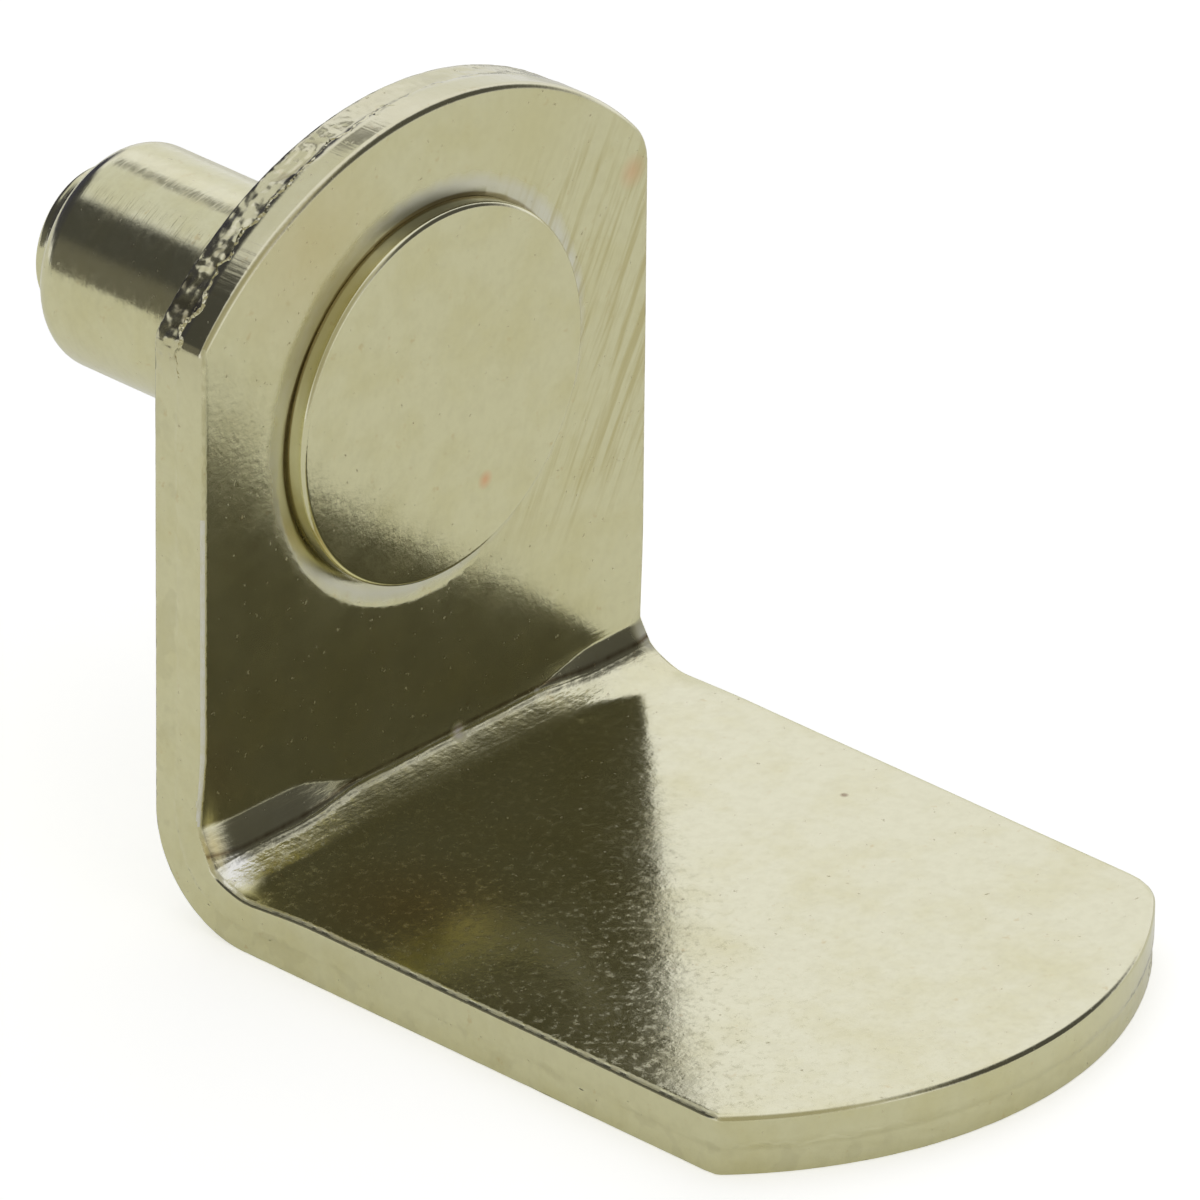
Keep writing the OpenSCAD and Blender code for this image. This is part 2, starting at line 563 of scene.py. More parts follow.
# %% Make the strip
def make_mesh(name, points, polygons):
    """An object in the scene from points in millimetres and faces as lists of point numbers."""
    mesh = bpy.data.meshes.new(name)
    mesh.from_pydata((np.asarray(points) * MM).tolist(), [], [list(map(int, f)) for f in polygons])
    mesh.validate()
    piece = bpy.data.objects.new(name, mesh)
    bpy.context.scene.collection.objects.link(piece)
    mesh.shade_smooth()
    return piece


strip = make_mesh("bent_strip", vertices, faces)
print("made", strip.name)

# %% [markdown]
# ## The hole for the pin
# The pin's neck passes through the plate, so the plate has a hole for it. A Boolean modifier takes
# one shape away from another, and the exact solver is used because the fast one can leave gaps in
# fine meshes. The result is kept as the piece's own mesh, so no modifier is left. Later the
# same helper cuts the ring round the head.

# %% Cut one piece with another
def cut_with(piece, cutter):
    """Takes the cutter's shape away from piece, exactly, and removes the cutter."""
    cut = piece.modifiers.new("cut", "BOOLEAN")
    cut.operation = "DIFFERENCE"
    cut.object = cutter
    cut.solver = "EXACT"
    bpy.context.view_layer.update()
    whole = piece.evaluated_get(bpy.context.evaluated_depsgraph_get())
    mesh = bpy.data.meshes.new_from_object(whole)
    piece.modifiers.clear()
    piece.data = mesh
    bpy.data.objects.remove(cutter)


print("helper ready: cut_with")

# %% [markdown]
# The drill is a plain cylinder that reaches out of the plate on both sides, a hundredth of a
# millimetre wider than the neck.

# %% Drill the hole
hole_gap = 0.01


def drill(piece, radius, low_y, high_y):
    """Cuts a round hole along Y through piece."""
    bpy.ops.mesh.primitive_cylinder_add(
        vertices=96,
        radius=radius * MM,
        depth=(high_y - low_y) * MM,
        location=(0, (high_y + low_y) / 2 * MM, 0),
        rotation=(math.pi / 2, 0, 0),
    )
    cut_with(piece, bpy.context.object)


drill(strip, neck_r + hole_gap, -2 * sheet, sheet)
strip.data.shade_smooth()
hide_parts("bracket")
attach(strip, "root")
print("strip drilled:", len(strip.data.polygons), "faces")

# %% [markdown]
# ## The headed pin
# The pin was turned and upset, so it is round all over and a single outline spun about its axis
# gives the whole piece. Such an outline is a list of straight and round stretches, sampled finely
# where it turns. Two helpers make these stretches.

# %% Straight and round stretches
def bow(centre_r, centre_y, radius, turn_from, turn_to, steps):
    """Points (r, y) on an arc. Turn 0 points away from the axis and 90 towards +Y."""
    turns = np.radians(np.linspace(turn_from, turn_to, steps + 1))
    return [(centre_r + radius * math.cos(t), centre_y + radius * math.sin(t)) for t in turns]


def straight(start, end, steps):
    """Points (r, y) on a straight line, with both ends."""
    return [tuple(np.array(start) + (np.array(end) - start) * t) for t in np.linspace(0, 1, steps + 1)]


print("helpers ready: bow, straight")

# %% [markdown]
# The outline runs from the middle of the head's face, round the head, along the neck and the body,
# and over the rounded shoulder to the middle of the domed step at the end. Even edges that look
# sharp get a small chamfer or radius, because an edge without one never catches the light.

# %% Outline of the pin
head_edge_r = 0.11
head_skirt = 0.08
head_foot = 0.1
body_chamfer = 0.02
pin_shoulder = 7.7
shoulder_r = 0.6
step_r = 1.7
step_edge_r = 0.15
step_dome = 0.1


def pin_outline():
    """The pin's outline as (r, y), from the axis at the head's face to the axis at its far end."""
    flat_r = head_r - head_edge_r
    points = straight((0.0, head_face), (flat_r - 0.01, head_face), 30)
    points += bow(flat_r, head_face + head_edge_r, head_edge_r, -90, 0, 8)
    points += [(head_r, -sheet - 0.06), (head_r, head_skirt - sheet), (head_r - head_foot, -sheet)]
    points += [(neck_r, -sheet), (neck_r, -sheet / 2), (neck_r, 0.0), (pin_r - body_chamfer, 0.0)]
    points += straight((pin_r, body_chamfer), (pin_r, pin_shoulder - shoulder_r), 60)
    points += bow(pin_r - shoulder_r, pin_shoulder - shoulder_r, shoulder_r, 0, 90, 12)[1:]
    points += [(step_r + 0.05, pin_shoulder), (step_r, pin_shoulder + 0.04)]
    points += bow(step_r - step_edge_r, pin_end - step_dome - step_edge_r, step_edge_r, 0, 80, 8)
    flat = step_r - step_edge_r
    points += [(r, pin_end - step_dome * (r / flat) ** 2) for r in np.linspace(flat, 0, 14)]
    return points


print("outline of", len(pin_outline()), "points")

# %% [markdown]
# Spinning could be done with Blender's Screw modifier. In code it is as short, and it closes both
# ends in a fan of triangles at a single point, and it keeps the points in even rings, which is what
# turned metal needs. The same helper will make the tool that presses the ring. The pin then
# takes the place of the solid pin.

# %% Spin the pin
points_round = 240


def spin(name, outline, around):
    """Spins an outline of (r, y) about the Y axis. It starts and ends on the axis."""
    angles = np.linspace(0, 2 * math.pi, around, endpoint=False)
    inner = outline[1:-1]
    points = [(0.0, outline[0][1], 0.0)]
    for r, y in inner:
        points += [(r * math.cos(a), y, r * math.sin(a)) for a in angles]
    points.append((0.0, outline[-1][1], 0.0))
    last = len(points) - 1
    last_ring = 1 + (len(inner) - 1) * around
    polygons = []
    for k in range(around):
        n = (k + 1) % around
        polygons.append((0, 1 + k, 1 + n))
        for ring in range(len(inner) - 1):
            a, b = 1 + ring * around, 1 + (ring + 1) * around
            polygons.append((a + k, b + k, b + n, a + n))
        polygons.append((last_ring + k, last, last_ring + n))
    return make_mesh(name, points, polygons)


pin = spin("headed_pin", pin_outline(), points_round)
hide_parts("pin")
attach(pin, "root")
print("pin:", len(pin.data.polygons), "faces")

# %% [markdown]
# ## The ring pressed round the head
# The tool that set the head has pressed a shallow ring into the plate. Its face was a very flat
# cone, so the ring is deepest at the head and runs out within half a millimetre. It is deeper and
# wider below the head than above it, because the tool stood slightly askew. Right against the
# head it has cut a fine groove. The ring is cut by a turned shape, so that it is truly round and
# not drawn with the squares of the plate's net. The tool's outline must run so that its faces
# look outwards, or the cut would do nothing.

# %% Press the ring
ring_reach = 1.1
ring_depth = 0.040
ring_slope = math.tan(math.radians(12))
groove_depth = 0.03
groove_width = 0.07
tool_lean = 0.85
core_r = head_r - 0.05
core_depth = 0.06


def ring_tool_outline():
    """The tool's outline as (r, y), from its back round to its pressing face, ending on the axis."""
    points = [(0.0, -3 * sheet), (head_r + ring_reach, -3 * sheet)]
    for t in np.linspace(1, 0, 12):
        out = groove_width + (ring_reach - groove_width) * t
        points.append((head_r + out, -sheet + ring_depth - ring_slope * (out - groove_width)))
    points += [(head_r, -sheet + ring_depth + groove_depth)]
    points += straight((core_r, -sheet + core_depth), (0.0, -sheet + core_depth), 6)
    return points


tool = spin("ring_tool", ring_tool_outline(), points_round)
tool.rotation_euler = (math.radians(tool_lean), 0, 0)
cut_with(strip, tool)
strip.data.shade_smooth()
print("strip after the ring:", len(strip.data.polygons), "faces")

# %% [markdown]
# ## Helpers for materials
# A material is a tree of nodes joined by links. Blender's own editor draws that tree. In
# code it is easier to read when each kind of node has a small helper that makes it, fills in its
# inputs and hands back its output. A finish can then be written almost like a sum.

# %% Make a node and fill it in
def start_tree(owner):
    """Turns on a material's or a world's node tree, empties it and hands it back."""
    owner.use_nodes = True
    owner.node_tree.nodes.clear()
    return owner.node_tree


def add(tree, kind, **settings):
    """A new node. Each setting goes to the input of that name, or else to the node itself."""
    node = tree.nodes.new(kind)
    for key, value in settings.items():
        if key in node.inputs:
            node.inputs[key].default_value = value
        else:
            setattr(node, key, value)
    return node


def feed(tree, value, socket):
    """Links another node's output to the socket, or writes a plain value into it."""
    if isinstance(value, bpy.types.NodeSocket):
        tree.links.new(value, socket)
    else:
        socket.default_value = value


print("helpers ready: start_tree, add, feed")

# %% [markdown]
# The next helpers work on places. All textures here use the part's own coordinates, turned into
# millimetres, so that a noise of scale 1 has features of about a millimetre on every side. A noise
# in stretched coordinates becomes lines.

# %% Places and noise
def stretched(tree, vector, scale):
    """The coordinates times scale on each axis. Large numbers make a noise in them finer."""
    node = add(tree, "ShaderNodeMapping", Scale=scale)
    feed(tree, vector, node.inputs["Vector"])
    return node.outputs["Vector"]


def millimetres(tree):
    """The part's own coordinates in millimetres."""
    return stretched(tree, add(tree, "ShaderNodeTexCoord").outputs["Object"], [1 / MM] * 3)


def coordinates(tree, place):
    """The X, Y and Z of a place, each by itself."""
    axes = add(tree, "ShaderNodeSeparateXYZ")
    feed(tree, place, axes.inputs["Vector"])
    return axes.outputs


def noise(tree, place, scale, detail=2.0, roughness=0.5):
    """Cloudy values around 0.5, with about scale clouds to a millimetre."""
    node = add(tree, "ShaderNodeTexNoise", Scale=scale, Detail=detail, Roughness=roughness)
    feed(tree, place, node.inputs["Vector"])
    return node.outputs["Fac"]


print("helpers ready: stretched, millimetres, coordinates, noise")

# %% [markdown]
# These helpers reckon with numbers. The most useful is remap: it picks a stretch of a coordinate or
# a noise and turns it into a share from 0 to 1. Such shares say where a mark is and how strong it is,
# and multiplied together they cut out any region with soft edges.

# %% Sums, products and shares
def combine(tree, operation, first, second):
    node = add(tree, "ShaderNodeMath", operation=operation)
    feed(tree, first, node.inputs[0])
    feed(tree, second, node.inputs[1])
    return node.outputs["Value"]


def product(tree, first, *others):
    """All the values multiplied together."""
    for other in others:
        first = combine(tree, "MULTIPLY", first, other)
    return first


def total(tree, first, *others):
    """All the values added together."""
    for other in others:
        first = combine(tree, "ADD", first, other)
    return first


def remap(tree, value, low, high, to_low, to_high):
    """Turns low into to_low and high into to_high, straight between them and level beyond."""
    node = add(tree, "ShaderNodeMapRange")
    for key, number in zip(("From Min", "From Max", "To Min", "To Max"), (low, high, to_low, to_high)):
        node.inputs[key].default_value = number
    feed(tree, value, node.inputs["Value"])
    return node.outputs["Result"]


def spot(tree, place, centre, inner, outer):
    """1 inside a round spot of the surface and 0 outside it. Sizes are in mm."""
    apart = add(tree, "ShaderNodeVectorMath", operation="DISTANCE")
    feed(tree, place, apart.inputs[0])
    feed(tree, centre, apart.inputs[1])
    return remap(tree, apart.outputs["Value"], inner, outer, 1, 0)


print("helpers ready: combine, product, total, remap, spot")

# %% [markdown]
# The last two helpers give colour and relief. A Mix node has sockets of its own for each kind of
# value. For colours they are inputs 6 and 7 and output 2. A Bump node tilts the light on a surface
# as if it had the given height. Bumps are stacked by handing one's normal to the next.

# %% Blend colours and add relief
def blend_colours(tree, share, first, second):
    """The first colour, going over to the second as share rises from 0 to 1."""
    node = add(tree, "ShaderNodeMix", data_type="RGBA")
    feed(tree, share, node.inputs[0])
    feed(tree, (*first, 1) if isinstance(first, tuple) else first, node.inputs[6])
    node.inputs[7].default_value = (*second, 1)
    return node.outputs[2]


def bump(tree, height, distance, under=None):
    """A normal tilted by height, where a height of 1 stands distance mm proud."""
    node = add(tree, "ShaderNodeBump", Distance=distance * MM)
    feed(tree, height, node.inputs["Height"])
    if under is not None:
        feed(tree, under, node.inputs["Normal"])
    return node.outputs["Normal"]


print("helpers ready: blend_colours, bump")

# %% [markdown]
# ## The plated finish
# Thin brass plating over steel is a mirror that has gone slightly soft: it keeps the texture of the
# rolled sheet, and it is speckled with fine grain. Its colour isn't even either. It has slow olive
# clouds where the layer is thinner, tiny brown dots, a fine mottling and a few pits. All of that is
# noise at different sizes. A texture painted by hand would fix the pattern to one side of the part,
# while noise in the part's own coordinates covers every side at the true scale.

# %% Colour of the plating
brass = (0.735, 0.707, 0.442)
olive = (0.66, 0.612, 0.312)
dot_brown = (0.62, 0.50, 0.25)
mottled_olive = (0.56, 0.522, 0.302)
pit_brown = (0.45, 0.39, 0.24)
# Pale colour of the painted highlights and of the painted reflection round the head.
painted_highlight_white = (0.80, 0.79, 0.66)
stain = (0.80, 0.33, 0.16)
pit_strength = 0.4


def specks(tree, place):
    """1 in tiny uneven pits scattered over the surface."""
    return remap(tree, noise(tree, place, 6.0, 2, 0.6), 0.70, 0.78, 0, 1)


def plated_colour(tree, place):
    """Brass with olive clouds, brown dots, mottling and pits, one over the other."""
    clouds = remap(tree, noise(tree, place, 0.6, 4, 0.6), 0.45, 0.75, 0, 0.6)
    dots = remap(tree, noise(tree, place, 2.6, 4, 0.7), 0.64, 0.72, 0, 0.5)
    mottles = remap(tree, noise(tree, place, 3.6, 4, 0.65), 0.42, 0.68, 0, 0.18)
    pits = product(tree, specks(tree, place), pit_strength)
    colour = blend_colours(tree, clouds, brass, olive)
    colour = blend_colours(tree, dots, colour, dot_brown)
    colour = blend_colours(tree, mottles, colour, mottled_olive)
    return blend_colours(tree, pits, colour, pit_brown)


print("brass:", brass)

# %% [markdown]
# Gloss and relief follow the same idea. The roughness drifts a little and is high in the pits. The
# relief is an orange peel of a few thousandths of a millimetre with a finer grain on top, which is
# what makes a reflection's edge sparkle. Every finish of this part starts from the same metal
# shader.

# %% Gloss and grain of the plating
peel_depth = 0.0028


def patchy_gloss(tree, place):
    """Roughness that drifts a little over the surface and is high in the tiny pits."""
    drift = remap(tree, noise(tree, place, 1.2, 4), 0.3, 0.7, 0.11, 0.17)
    return total(tree, drift, product(tree, specks(tree, place), pit_strength))


def grained(tree, place, grain_depth, under=None):
    """The orange peel and the fine sparkling grain of the plating, as a tilted normal."""
    peel = bump(tree, noise(tree, place, 2.0, 2), peel_depth, under)
    return bump(tree, noise(tree, place, 7.0, 3, 0.6), grain_depth, peel)


def metal(name):
    """A metal whose colour, roughness and normal are still to be joined up."""
    material = bpy.data.materials.new(name)
    tree = start_tree(material)
    shader = add(tree, "ShaderNodeBsdfPrincipled", Metallic=1.0)
    output = add(tree, "ShaderNodeOutputMaterial")
    feed(tree, shader.outputs["BSDF"], output.inputs["Surface"])
    return material, tree, shader


print("orange peel", peel_depth, "mm deep")

# %% [markdown]
# ## Regions of the strip
# Much of the strip's finish belongs to one place, and the places are named here once. The front is
# everything from the plate's front face outwards. The bend is the stretch of it within a
# millimetre of the plate, without the underside, and the curve is the part of the bend that
# lies below the struck line. They are kept together in one small object, which later cells add to.

# %% Front, bend and curve
def strip_regions(tree):
    """Coordinates on the strip, and shares that are 1 in one region of it and 0 elsewhere."""
    at = SimpleNamespace(place=millimetres(tree))
    at.x, at.y, at.z = coordinates(tree, at.place)
    at.front = remap(tree, at.y, -sheet + 0.15, -sheet + 0.05, 0, 1)
    near_plate = remap(tree, at.y, -sheet - 1.05, -sheet - 0.75, 0, 1)
    above_underside = remap(tree, at.z, seat_z - 0.4, seat_z - 0.3, 0, 1)
    at.bend = product(tree, near_plate, at.front, above_underside)
    at.curve = product(tree, at.bend, remap(tree, at.z, seat_z + 0.42, seat_z + 0.36, 0, 1))
    return at


print("the bend reaches", sheet + 1.05, "mm out from the wall")

# %% [markdown]
# ## Round the head
# Where the tool pressed the ring, it rubbed the plating a little duller. The ring's colour is painted
# pale there, a painted reflection of the bright room. The groove at the head's foot is painted dark
# brown, a painted shade, most of it at the upper left. All three depend on the distance from the
# pin's axis, and the ring's rim wanders a little, since nothing that is rubbed has a sharp edge.

# %% Marks round the head
# First pair: radii of the pale ring, a painted reflection.
painted_halo_rim = (head_r + 0.30, head_r + 0.56)
dull_rim = (head_r + 0.36, head_r + 0.66)
# Groove rim: radii of the groove's dark brown painted shade.
groove_rim = (head_r + 0.07, head_r + 0.11)


def mark_round_head(tree, at):
    """Adds the distance and direction from the pin's axis, and the three marks, to at."""
    flat = add(tree, "ShaderNodeCombineXYZ")
    feed(tree, at.x, flat.inputs["X"])
    feed(tree, at.z, flat.inputs["Z"])
    distance = add(tree, "ShaderNodeVectorMath", operation="LENGTH")
    feed(tree, flat.outputs["Vector"], distance.inputs[0])
    direction = add(tree, "ShaderNodeVectorMath", operation="NORMALIZE")
    feed(tree, flat.outputs["Vector"], direction.inputs[0])
    at.from_axis = distance.outputs["Value"]
    at.outward = direction.outputs["Vector"]

    wander = remap(tree, noise(tree, at.place, 2.6, 3), 0.3, 0.7, -0.05, 0.05)
    ragged = total(tree, at.from_axis, wander)
    # The pale ring is a painted reflection: its whiter colour stands in for the bright room mirrored
    # in the plate.
    at.whiter = product(tree, remap(tree, ragged, *painted_halo_rim, 1, 0), at.front, 0.8)
    more_above = remap(tree, at.z, -4.4, 0.5, 0.14, 0.20)
    at.duller = product(tree, remap(tree, ragged, *dull_rim, 1, 0), more_above, at.front)
    # The groove is painted dark brown as a painted shade, strongest at the upper left.
    upper_left = remap(tree, combine(tree, "SUBTRACT", at.z, at.x), -3.0, 3.0, 0.2, 0.8)
    at.groove = product(tree, remap(tree, at.from_axis, *groove_rim, 1, 0), upper_left, at.front)


print(f"the pale ring ends {painted_halo_rim[1]:.2f} mm from the pin's axis")

# %% [markdown]
# ## Streaks
# To the right of the head run faint slanting streaks, left by the strip rubbing on its neighbours in
# the plating barrel. They are a noise drawn out along its own direction: the coordinates are turned
# first and stretched after that. The same lines, without the region, also break up the dark line in
# the bend and the head's face.

# %% Slanting streaks
streak_turn = 27


def streaks(tree, place, across, along):
    """Slanting streaks as a noise drawn out along their own direction."""
    turned = add(tree, "ShaderNodeMapping", Rotation=(0, math.radians(-streak_turn), 0))
    feed(tree, place, turned.inputs["Vector"])
    drawn_out = stretched(tree, turned.outputs["Vector"], (across, 1.0, along))
    return noise(tree, drawn_out, 1.0, 3, 0.6)


def mark_streaks(tree, at):
    """Adds the streaks, and the region beside the head where they show, to at."""
    at.lines = streaks(tree, at.place, 4.4, 0.30)
    to_right = remap(tree, at.x, 1.5, 4.5, 0, 1)
    above_bend = remap(tree, at.z, -5.5, -4.0, 0, 1)
    below_arc = remap(tree, at.z, 3.2, 4.6, 1, 0)
    at.rubbed = product(tree, to_right, above_bend, below_arc, at.front)


print("streaks slant by", streak_turn, "degrees")

# %% [markdown]
# ## Single marks
# A used part has a few marks of its own: a rust-red stain, a dark dot, nicks on the struck line and
# broad clouds where the plating is thinner or has gone yellow. The nicks' pale colour is a painted
# glint, and two pale patches, at the line's right end and on the left shoulder, are painted
# highlights. Each is a soft round spot with a centre, the radii where it starts and ends to fade, a
# strength and a colour. Nicks are also duller than the metal round them, so they come a second time
# with a centre and a radius only.

# %% Spots and nicks
spots = {
    "red stain at the right edge": ((6.15, -1.4, 2.75), 0.05, 0.45, 0.35, stain),
    "dark dot on the seat": ((4.98, -8.65, -8.8), 0.04, 0.11, 0.8, (0.30, 0.22, 0.12)),
    # The pale colours of the two nicks below are painted glints.
    "nick with a painted glint on the line": ((0.95, -1.45, -8.42), 0.06, 0.20, 0.8, (0.86, 0.83, 0.86)),
    "smaller nick with a painted glint on the line": ((3.35, -1.50, -8.42), 0.05, 0.13, 0.9, (0.88, 0.87, 0.85)),
    "olive cloud above the head": ((3.0, -1.4, 4.9), 0.20, 1.90, 0.45, olive),
    "yellow cloud at the upper left": ((-3.6, -1.4, 4.6), 0.30, 2.60, 0.5, (0.66, 0.57, 0.30)),
    # A pale patch at the line's right end: a painted highlight on a duller spot.
    "dull spot with a painted highlight at the line's right end": ((6.65, -1.60, -8.25), 0.15, 0.40, 0.8, painted_highlight_white),
    "yellow cloud on the seat": ((-4.6, -5.4, -8.8), 0.20, 2.60, 0.5, (0.72, 0.52, 0.22)),
    # A pale patch on the left shoulder: a painted highlight.
    "painted highlight on the left shoulder": ((-6.20, -2.05, -8.65), 0.25, 0.60, 0.8, painted_highlight_white),
    "yellow end of the left leaf": ((-6.55, -1.50, -8.25), 0.15, 0.45, 0.7, (0.76, 0.66, 0.32)),
}
nicks = {
    "nick with a painted glint on the line": ((0.95, -1.45, -8.42), 0.26),
    "smaller nick with a painted glint on the line": ((3.35, -1.50, -8.42), 0.13),
    "dull spot with a painted highlight at the line's right end": ((6.7, -1.6, -8.2), 0.60),
}
print(len(spots), "spots and", len(nicks), "nicks")

# %% [markdown]
# ## Colour of the strip's faces
# The colour is built in layers, like glazes of paint: first the plating, then each mark over it with
# its own share. The last layer is a thin dark brown line just above the struck line of the bend.

# %% Layers of colour
streak_brown = (0.56, 0.50, 0.24)
# Dark brown painted shade for the groove at the head's foot.
groove_painted_shade = (0.26, 0.19, 0.07)
line_brown = (0.24, 0.17, 0.07)


def strip_colour(tree, at):
    """The plating's colour with every mark laid over it in turn."""
    streaked = product(tree, remap(tree, at.lines, 0.48, 0.66, 0, 0.75), at.rubbed)
    # The groove's brown layer is painted shade.
    # The pale ring round the head is a painted reflection.
    layers = [(at.whiter, painted_highlight_white), (streaked, streak_brown), (at.groove, groove_painted_shade)]
    for centre, inner, outer, strength, tint in spots.values():
        layers.append((product(tree, spot(tree, at.place, centre, inner, outer), strength), tint))
    over_line = remap(tree, at.z, seat_z + 0.38, seat_z + 0.44, 0, 1)
    under_top = remap(tree, at.z, seat_z + 0.44, seat_z + 0.52, 1, 0)
    broken = remap(tree, at.lines, 0.3, 0.6, 0.4, 0.9)
    layers.append((product(tree, over_line, under_top, at.bend, broken), line_brown))
    colour = plated_colour(tree, at.place)
    for share, tint in layers:
        colour = blend_colours(tree, share, colour, tint)
    return colour


print("layers of colour over the plating:", 4 + len(spots))

# %% [markdown]
# ## Gloss of the strip's faces
# The plating's own gloss is the start, and each kind of wear makes it duller by some amount. The
# rubbed ring and the curve in the bend are a bit duller, and the nicks much more. The
# plate is a touch duller than the seat. The seat is strewn with grit, more on its left, and the
# rolled edges are chafed in patches.

# %% Layers of dullness
curve_dullness = 0.08
nick_dullness = 0.5


def strip_roughness(tree, at):
    """The plating's roughness with every kind of wear added to it."""
    dull = [at.duller, product(tree, at.curve, curve_dullness)]
    for centre, outer in nicks.values():
        dull.append(product(tree, spot(tree, at.place, centre, outer / 3, outer), nick_dullness))
    dull.append(remap(tree, at.y, -sheet - 0.06, -sheet - 0.20, 0.045, -0.02))
    grit = remap(tree, noise(tree, at.place, 5.0, 3, 0.7), 0.50, 0.66, 0.01, 0.19)
    over_seat = remap(tree, at.y, -sheet - 0.5, -sheet - 1.0, 0, 1)
    more_left = remap(tree, at.x, 5.0, -4.0, 0.35, 1)
    dull.append(product(tree, grit, over_seat, more_left))
    off_middle = combine(tree, "ABSOLUTE", at.x, 0)
    rolled = remap(tree, off_middle, half_width - 0.14, half_width - 0.10, 0, 1)
    chafed = remap(tree, noise(tree, at.place, 3.5, 2), 0.40, 0.60, 0.05, 0.45)
    dull.append(product(tree, rolled, chafed))
    return total(tree, patchy_gloss(tree, at.place), *dull)


print("nicks add", nick_dullness, "to the roughness")

# %% [markdown]
# ## Warp of the faces
# The real faces aren't perfectly square to each other, and the plate is dished round the head. The
# warp is far too small to see in the outline, but a mirror shows it: it moves the edges of the
# reflections. Tilting the shading normal by a degree or two does just that and leaves every size
# alone. The lean is added in the part's own axes and then turned into the world's.

# %% Lean the normals
seat_lean = (-0.031, 0.031, 0.0)
plate_lean = (-0.020, 0.0, -0.012)
dish_lean = 0.035


def leaned(tree, leans):
    """The surface's normal, leaned by small vectors. Each comes with the strength it has."""
    normal = add(tree, "ShaderNodeTexCoord").outputs["Normal"]
    for strength, lean in leans:
        amount = add(tree, "ShaderNodeVectorMath", operation="SCALE")
        feed(tree, lean, amount.inputs[0])
        feed(tree, strength, amount.inputs["Scale"])
        moved = add(tree, "ShaderNodeVectorMath", operation="ADD")
        feed(tree, normal, moved.inputs[0])
        feed(tree, amount.outputs["Vector"], moved.inputs[1])
        normal = moved.outputs["Vector"]
    turned = add(tree, "ShaderNodeVectorTransform", vector_type="NORMAL")
    turned.convert_from = "OBJECT"
    turned.convert_to = "WORLD"
    feed(tree, normal, turned.inputs["Vector"])
    return turned.outputs["Vector"]


def warped(tree, at):
    """The strip's normal with the lean of the seat, the plate and the dish round the head."""
    above_underside = remap(tree, at.z, seat_z - 0.7, seat_z - 0.6, 0, 1)
    seat = product(tree, remap(tree, at.y, -sheet - 0.9, -sheet - 1.6, 0, 1), above_underside)
    plate = product(tree, at.front, remap(tree, at.y, -sheet - 0.08, -sheet - 0.04, 0, 1))
    dish = remap(tree, at.from_axis, head_r + 0.4, head_r + 1.7, -dish_lean, 0)
    dish = product(tree, dish, at.front)
    return leaned(tree, ((seat, seat_lean), (plate, plate_lean), (dish, at.outward)))


print(f"the dish leans the normal by {math.degrees(dish_lean):.0f} degrees at most")

# %% [markdown]
# ## Relief of the strip's faces
# On top of the warp come three fine reliefs: the streaks, lines that the press has drawn along the
# bend, and a sandy skin on the curve. The plating's own peel and grain lie over all of them. With
# that, the finish of the faces is complete.

# %% Finish of the strip's faces
def strip_relief(tree, at):
    """The strip's normal with its warp and all its fine relief."""
    rubs = bump(tree, product(tree, at.lines, at.rubbed), 0.008, warped(tree, at))
    in_bend = product(tree, remap(tree, at.z, seat_z + 1.3, seat_z + 1.0, 0, 1), at.bend)
    along_bend = noise(tree, stretched(tree, at.place, (0.5, 9.0, 9.0)), 1.0, 2)
    drawn = bump(tree, product(tree, along_bend, in_bend), 0.006, rubs)
    sandy = bump(tree, product(tree, noise(tree, at.place, 8.0, 2), at.curve), 0.008, drawn)
    return grained(tree, at.place, 0.0027, sandy)


def strip_faces(name):
    """The finish of the strip's flat faces and of the inside of its bend."""
    material, tree, shader = metal(name)
    at = strip_regions(tree)
    mark_round_head(tree, at)
    mark_streaks(tree, at)
    feed(tree, strip_colour(tree, at), shader.inputs["Base Color"])
    feed(tree, strip_roughness(tree, at), shader.inputs["Roughness"])
    feed(tree, strip_relief(tree, at), shader.inputs["Normal"])
    return material


plated_faces = strip_faces("plated_faces")
print("finish of the faces:", len(plated_faces.node_tree.nodes), "nodes")

# %% [markdown]
# ## The cut edge
# On a blanked edge the smooth half next to the front has fine lines that run through the thickness,
# where the die has drawn the metal. The torn half near the back is broken up into lumps and small
# facets with dark cracks between them, most of all on the plate's arc and towards its left, where
# the plating has also aged to a darker yellow. The lines need a noise stretched along the
# thickness, which is Y on the plate and Z on the seat, so one function makes both finishes.

# %% Finish of the cut edge
crack_brown = (0.22, 0.18, 0.09)
aged_yellow = (0.58, 0.54, 0.34)
lump_height = 0.26


